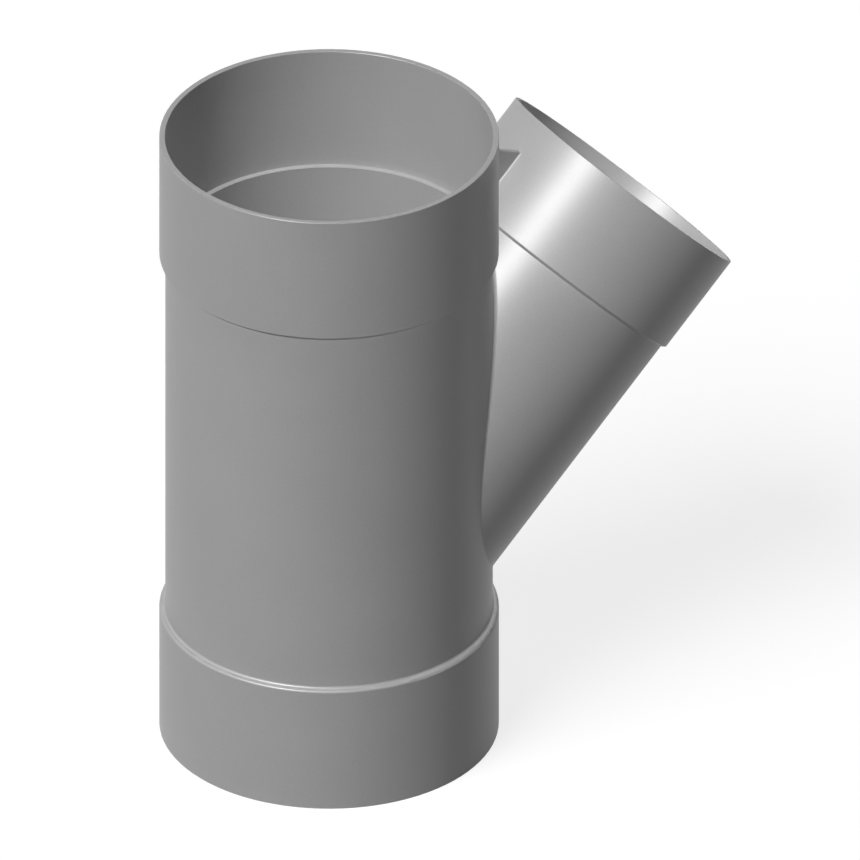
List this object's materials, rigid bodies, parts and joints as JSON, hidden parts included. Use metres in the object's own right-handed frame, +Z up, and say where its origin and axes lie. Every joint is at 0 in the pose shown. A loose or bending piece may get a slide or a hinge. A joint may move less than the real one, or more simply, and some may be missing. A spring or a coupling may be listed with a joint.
{
  "type": "lateral wye fitting",
  "caption": "Thin-walled plastic lateral wye: a straight run of pipe with a smaller branch at 45 degrees, a socket hub at each end and a stiffening web in the crotch.",
  "frame": {"origin": "centre of the lower socket's mouth, on the run's axis", "axes": "+Z up the run towards the upper socket; +X towards the branch; +Y square to the plane that holds both axes"},
  "size_m": [0.3714, 0.2074, 0.4166],
  "materials": {
    "moulded_plastic": "satin"
  },
  "bodies": {
    "root": {"wye_body": "moulded_plastic"}
  },
  "joints": []
}
